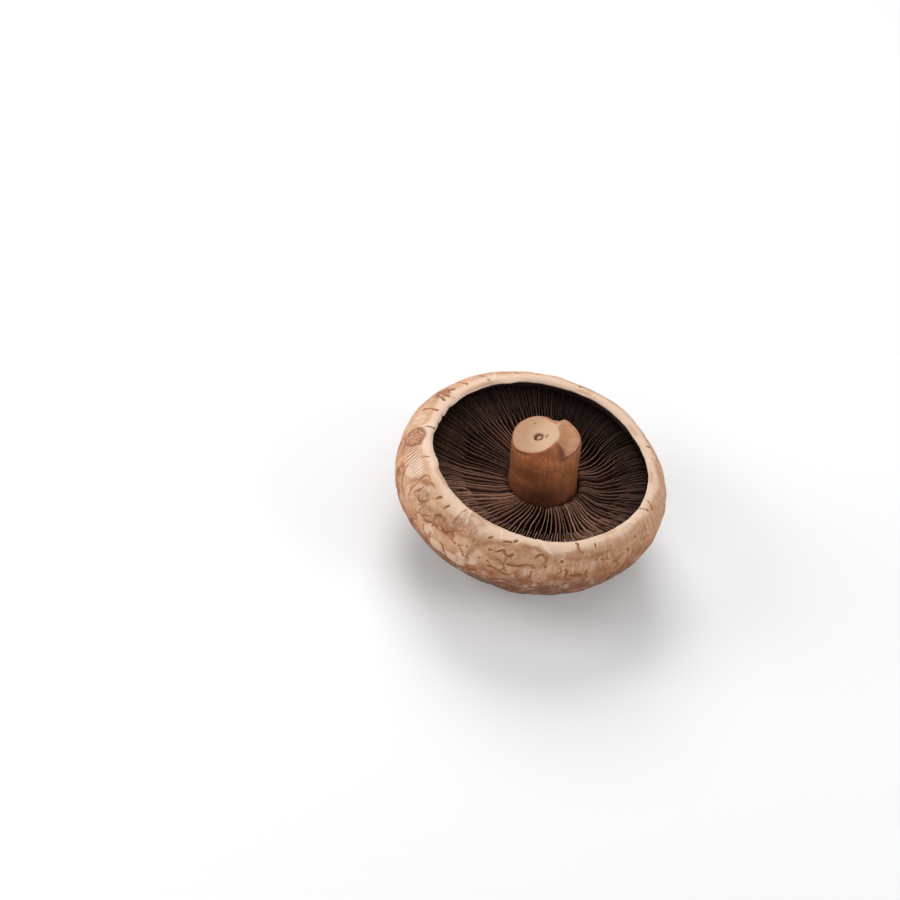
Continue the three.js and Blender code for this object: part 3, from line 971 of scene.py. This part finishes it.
def broken_away(x, y):
    """How far the end stands below the cut, how far past the edge of the flat, and how frontal it is."""
    past = past_flat(x, y)
    a = np.arctan2(y, x)
    level = np.interp(np.degrees(a), *np.transpose(broken_rim))
    front = smooth(-np.degrees(a), 39, 43) * smooth(np.degrees(a), -125, -105)
    torn_side = 0.3 * smooth(past, -0.3, 0.4) + 0.7 * smooth(past, 0, 4)
    whole_way = past_flat(rim_radius * np.cos(a), rim_radius * np.sin(a))
    rounded = 1 - np.sqrt(1 - np.clip(past / np.maximum(whole_way, 0.3), 0, 1) ** 2)
    return level * (front * rounded + (1 - front) * torn_side), past, front


def bezier(share):
    """Points and directions of the stem's axis, at shares of its length."""
    t = share[:, None]
    foot, knee, tip = (np.array(v) for v in (stem_foot, stem_knee, stem_tip))
    points = (1 - t) ** 2 * foot + 2 * t * (1 - t) * knee + t**2 * tip
    along = 2 * (1 - t) * (knee - foot) + 2 * t * (tip - knee)
    return points, along / np.linalg.norm(along, axis=1)[:, None]


top = stem_length / mm
outline = [
    # radius, height, and how far the cut's slant and tear have a hold of it
    (0.5, 0, 0), (13.3, 0, 0), (14.2, 0.4, 0), (14.5, 1.2, 0), (14.5, 7, 0), (14.1, 13, 0), (13.8, 19, 0),
    (13.75, 24, 0.1), (13.7, 28, 0.5), (13.7, top - 1.1, 0.95), (13.55, top - 0.5, 1), (13.3, top - 0.15, 1),
    (12.9, top, 1), (0.3, top, 1),
]
outline = np.array(outline)
run = lengths_along(outline[:, :2])
skin_end = run[-2]
stations = stepped(0, 12, run[1], 80, run[8], 34, skin_end, 51, run[-1])
stem_around = 260
r, h, share = (np.repeat(np.interp(stations, run, outline[:, i]), stem_around) for i in range(3))
a = np.tile(np.linspace(0, 2 * math.pi, stem_around, endpoint=False), len(stations))
round_degrees = (np.degrees(a) + 180) % 360 - 180
on_top = np.repeat(smooth(stations, skin_end - 0.35, skin_end + 0.1), stem_around)
x, y = r * np.cos(a), r * np.sin(a)
centred = share * (1 - smooth(r, 2.4, 11))
at_x, at_y = x + centred * pith.x / mm, y + centred * pith.y / mm
drop, past, front = broken_away(at_x, at_y)
fibre_at = polar(14, a, h)
spokes = noise_at(polar(9, a, 0.18 * r), 1.1, 21)
coarse, fine = noise_at(polar(r, a, h), 3.2, 22), noise_at(polar(r, a, h), 1.1, 23)
threads = noise_at(fibre_at * (1, 1, 0.12), 0.9, 24)
torn = (1 - front) * smooth(past, -0.2, 0.4) * smooth(drop, 0.02, 0.2) * on_top

# The end: rough where it tore, and with a round pith, a slit, a dot and a low ridge in the flat.
height = h - share * drop
height += on_top * (0.06 * fine * (1 - torn) + torn * (0.07 * spokes + 0.2 * coarse + 0.1 * fine))
round_pith = hill(np.hypot(x / 1.6, y / 2.15) - 1, 0.27) * (0.68 + 0.32 * np.cos(a - 2.7 + 0.6 * fine))
hollow = 1.3 * round_pith + 0.3 * hill(np.hypot(x / 2.2, y / 3) ** 2, 1)
hollow += 0.6 * hill(x - 3, 0.35) * hill(y - 1.3, 1.2)
hollow += 0.5 * hill(at_x + 6, 0.4) * hill(at_y - 6.2, 0.5)
height += on_top * (0.2 * hill(r - 11.7, 0.45) * facing(round_degrees, 150, 26) - hollow)

# The side: ribbed and uneven, flared at the front of the end, and undercut by a groove just below it.
flare_out, groove_depth, front_depth, hollow_depth, waist_shift = 3, 0.4, 0.5, 0.7, 0.65 * mm
on_side = (1 - on_top) * smooth(h, 0.5, 3)
ribs = 1 + 0.012 * np.sin(3 * a + 1) + 0.008 * np.sin(0.3 * height)
swell = on_side * (0.2 * coarse + 0.07 * threads + 0.05 * fine)
flare = facing(round_degrees, -118, 32) * smooth(h, top - 14, top - 1) * smooth(r, 7, 12.5)
off_front = far_round(round_degrees, -140)
undercut = smooth(-off_front, -45, -30) * smooth(off_front, -60, -45)
undercut = np.maximum(undercut, 0.7 * smooth(round_degrees, -58, -48) * (1 - smooth(round_degrees, -5, 12)))
groove = hill(h - (top - 0.7), 0.36) * undercut
swell += flare_out * flare - groove_depth * groove * on_side - front_depth * front * smooth(h, top - 2.5, top)
swell -= hollow_depth * facing(round_degrees, -35, 32) * smooth(h, 2, 7) * (1 - smooth(h, 14, 26))
wider = ribs * (1 + swell / np.maximum(r, 1))

axis, tangent = bezier(np.clip(height / top, 0, 1))
across = np.stack([tangent[:, 2], 0 * a, -tangent[:, 0]], axis=1)
across /= np.linalg.norm(across, axis=1)[:, None]
forward = np.cross(tangent, across)
along_x = (x * wider * mm + centred * pith.x)[:, None]
along_y = (y * wider * mm + centred * pith.y)[:, None] * stem_depth_ratio
stem_points = axis + along_x * across + along_y * forward + np.array([*middle, 0])
stem_points[:, 0] -= waist_shift * smooth(h, 3, 11) * (1 - smooth(h, 21, 31))
stem_mesh = mesh_of_rings("cut_stem", stem_points, stem_around)

# Painted shade up the front, strongest low down and drifting to one side higher up, and a dark notch of
# painted shade in the torn edge.
stain = facing(round_degrees + 26 * smooth(h, 17, 27), -84, 37) * smooth(h, -2, 7)
stain *= (1 - 0.6 * smooth(h, 14, 20)) * (1 - smooth(h, 23, 30))
notch_shade = 0.6 * facing(round_degrees, -48, 7) * smooth(past, 0.6, 2) * smooth(h, top - 1.6, top - 0.6)
mark(
    stem_mesh,
    cut=on_top,
    torn=torn,
    chamfer=front * smooth(past, -0.15, 0.2),
    from_middle=np.hypot(x, y),
    hollow=on_top * np.clip(hollow, 0, 1),
    fibre_at=fibre_at,
    groove=groove * on_side,
    spoke=0.5 + 0.5 * spokes,
    to_the_right=smooth(x, -9, 4),
    orange=facing(round_degrees, -86, 26) * smooth(height, top - 6.5, top - 2.8),
    stain=np.maximum(stain, notch_shade),
)


def stem_skin():
    """A brown skin streaked lengthwise, over cream flesh that shows in the cut."""
    material, tree, place, shader = new_material("stem_skin", 0.6, 0.35, 0.15)
    fibre_place = said(tree, "fibre_at", "Vector")
    lengthwise = add_node(tree, "ShaderNodeSeparateXYZ", Vector=fibre_place).outputs[2]
    skin = mixed(tree, remap(tree, lengthwise, 2, 27), (108, 60, 36), (182, 110, 65))
    # An orange painted highlight across the top of the front, and dark mottling.
    skin = tinted(
        tree, skin,
        ((184, 98, 40), "orange", 0.7),
        ((96, 50, 28), mottled(tree, place, 12, 0.5, 0.16), 0.35),
        ((92, 50, 30), mottled(tree, place, 1.2, 0.5, 0.12), 0.34),
    )
    # Painted shade down the front and in the notch of the torn edge, clouded, and dark mottling.
    clouded = remap(tree, mottled(tree, place, 5, 0.6, 0.2), 0, 1, 0.86, 1)
    skin = tinted(
        tree, skin,
        ((72, 36, 19), "stain", clouded),
        ((76, 40, 24), mottled(tree, place, 6, 0.42, 0.1), 0.24),
    )
    streaks = use_group(tree, fibres, Place=fibre_place, Width=2.2, Length=14, Share=0.5)
    skin = tinted(tree, skin, ((92, 50, 30), streaks["Mask"], 0.22))
    pale_streaks = use_group(tree, fibres, Place=fibre_place, Width=1.2, Length=6, Share=0.38)["Mask"]
    # Pale streaks, and painted shade in the groove just below the edge of the cut.
    skin = tinted(
        tree, skin,
        ((186, 132, 92), pale_streaks, 0.1),
        ((78, 40, 23), "groove", 0.8),
    )

    outwards, is_torn = said(tree, "from_middle"), said(tree, "torn")
    flesh = mixed(tree, "to_the_right", (171, 128, 92), (199, 164, 132))
    rings = calculate(tree, "SINE", product(tree, outwards, 5))
    flesh = tinted(
        tree, flesh,
        ((186, 142, 108), remap(tree, rings, 0.2, 1, 0, 0.14)),
        ((168, 118, 80), remap(tree, outwards, 11.4, 12.9), 0.55),
    )
    spoke = remap(tree, "spoke", 0.35, 0.7, 0, 0.3)
    torn_flesh = mixed(tree, spoke, (178, 127, 88), (154, 102, 66))
    flesh = mixed(tree, is_torn, flesh, torn_flesh)
    # Where it broke off, a dark line and a thin wall of skin stand round the flesh. The hollows of the cut
    # are painted darker: painted shade.
    off_line = calculate(tree, "ABSOLUTE", calculate(tree, "SUBTRACT", outwards, 12.35))
    flesh = tinted(
        tree, flesh,
        ((108, 64, 40), remap(tree, off_line, 0.26, 0.05, 0, 0.6), is_torn),
        ((186, 132, 96), remap(tree, outwards, 12.5, 12.75), is_torn, 0.8),
        ((184, 138, 100), mottled(tree, place, 5, 0.4, 0.15), 0.3),
        ((120, 76, 48), remap(tree, "hollow", 0.1, 0.7, 0, 0.8)),
    )
    flesh = mixed(tree, "chamfer", flesh, skin)
    tree.links.new(mixed(tree, "cut", skin, flesh), shader["Base Color"])

    fine_grain = product(tree, clouds(tree, place, 900, 4), 0.4)
    bumped(tree, shader, total(tree, streaks["Height"], fine_grain), 0.4, 0.25 * mm)
    return material


stem_mesh.materials.append(stem_skin())
put_in_piece(stem_mesh, "stem")

# The stage
#
# A plain pale floor in a pale room, under five soft lights: over the far side, overhead, on the left, on
# the right and on the near side. The camera looks down into the mouth of the cap, a little rolled.

floor_mesh = bpy.data.meshes.new("floor")
reach = 3
corners = [(x, y, 0) for x, y in [(-reach, -reach), (reach, -reach), (reach, reach), (-reach, reach)]]
floor_mesh.from_pydata(corners, [], [(0, 1, 2, 3)])
paper, _, _, surface = new_material("floor", 0.9, 0.5, 0)
surface["Base Color"].default_value = (0.9, 0.9, 0.9, 1)
floor_mesh.materials.append(paper)
floor = put_in(floor_mesh)


def soft_light(name, place, size, power):
    """A square light that shines at the middle of the mushroom."""
    light = bpy.data.lights.new(name, "AREA")
    light.size, light.energy = size, power
    lamp = put_in(light)
    lamp.location = place
    lamp.rotation_euler = (Vector((0, 0, 30)) * mm - Vector(place)).to_track_quat("-Z", "Y").to_euler()


soft_light("over_the_far_side", (-0.3, 0.55, 0.6), 0.5, 4.8)
soft_light("overhead", (0.05, -0.05, 1), 0.6, 1)
soft_light("left_hand", (-0.8, -0.2, 0.4), 0.5, 3.6)
soft_light("right_hand", (0.8, -0.05, 0.4), 0.5, 3)
soft_light("near_side", (-0.25, -0.9, 0.45), 0.6, 2.6)

room = bpy.data.worlds.new("room")
bpy.context.scene.world = room
room.use_nodes = True
room.node_tree.nodes["Background"].inputs["Color"].default_value = (0.95, 0.97, 1, 1)
room.node_tree.nodes["Background"].inputs["Strength"].default_value = 0.25
bpy.context.scene.view_settings.view_transform = "Standard"

target = Vector((1.2, 0.4, 30)) * mm
elevation, distance = math.radians(45.8), 870 * mm
roll = math.radians(17.8)
forward = Vector((0, math.cos(elevation), -math.sin(elevation)))
right = Vector((1, 0, 0))
up = right.cross(forward)
camera_right = math.cos(roll) * right + math.sin(roll) * up
camera_up = math.cos(roll) * up - math.sin(roll) * right
camera_data = bpy.data.cameras.new("camera")
camera_data.sensor_width, camera_data.lens = 36, 85.8
camera_data.shift_x, camera_data.shift_y = -0.0936, 0.0349
camera_data.clip_start = 0.02
camera = put_in(camera_data)
axes = Matrix((camera_right, camera_up, -forward)).transposed().to_4x4()
camera.matrix_world = Matrix.Translation(target - distance * forward) @ axes
bpy.context.scene.camera = camera
